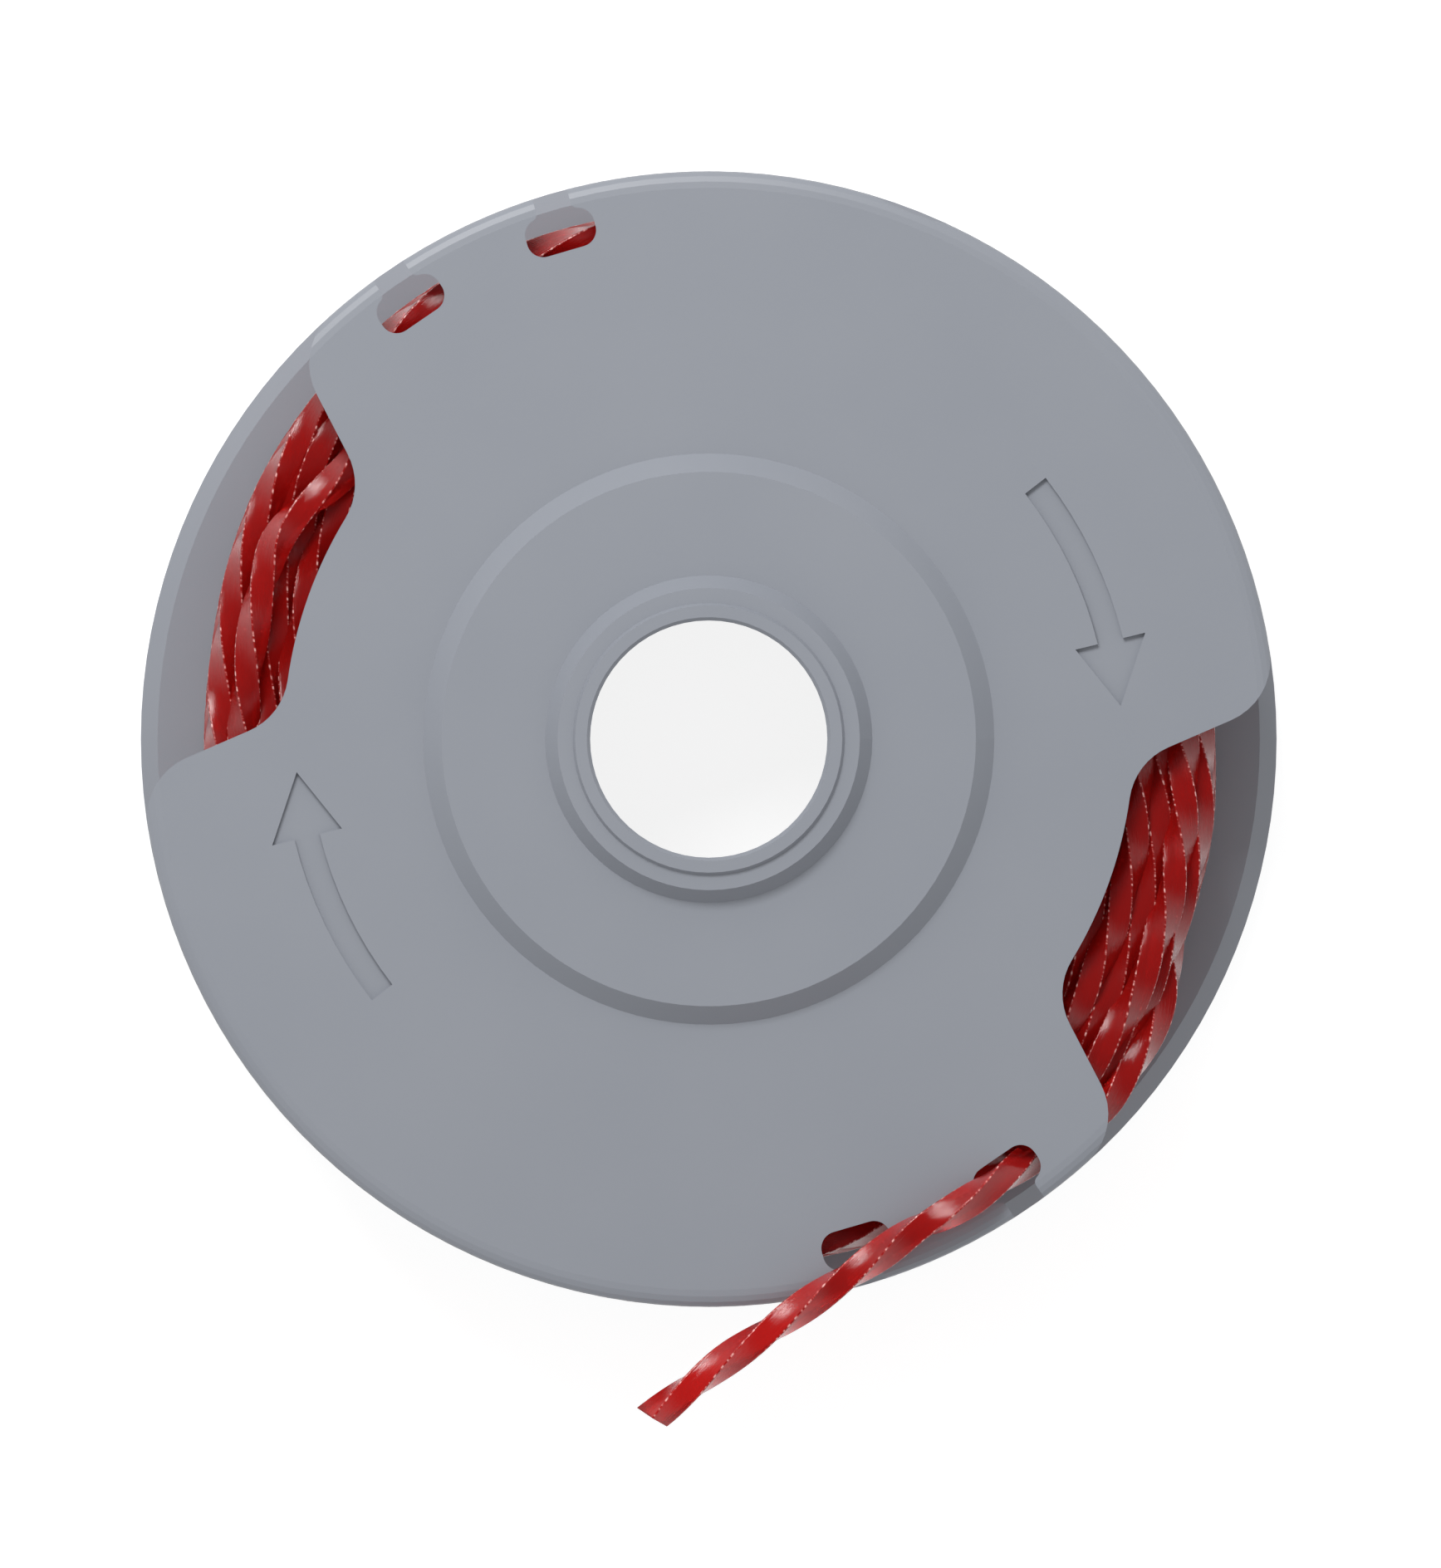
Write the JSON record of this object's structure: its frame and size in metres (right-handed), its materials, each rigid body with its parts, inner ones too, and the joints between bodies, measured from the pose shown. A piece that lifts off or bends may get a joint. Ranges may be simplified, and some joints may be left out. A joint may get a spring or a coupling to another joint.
{
  "type": "trimmer line spool",
  "caption": "Round two-flange spool with a hollow hub and collared bore, wound with twisted line whose free end comes out through a slot in the upper flange.",
  "frame": {"origin": "on the bore's axis, in the plane of the lower flange's skirt and the hub's foot, which the spool rests on", "axes": "+Z along the bore's axis, out of the marked face; the line's free end leaves the rim towards -Y"},
  "size_m": [0.068, 0.0752, 0.0168],
  "materials": {
    "grey_plastic": "satin",
    "red_line": "gloss"
  },
  "bodies": {
    "root": {"spool": "grey_plastic", "wound_line": "red_line", "line_tail": "red_line"}
  },
  "joints": []
}
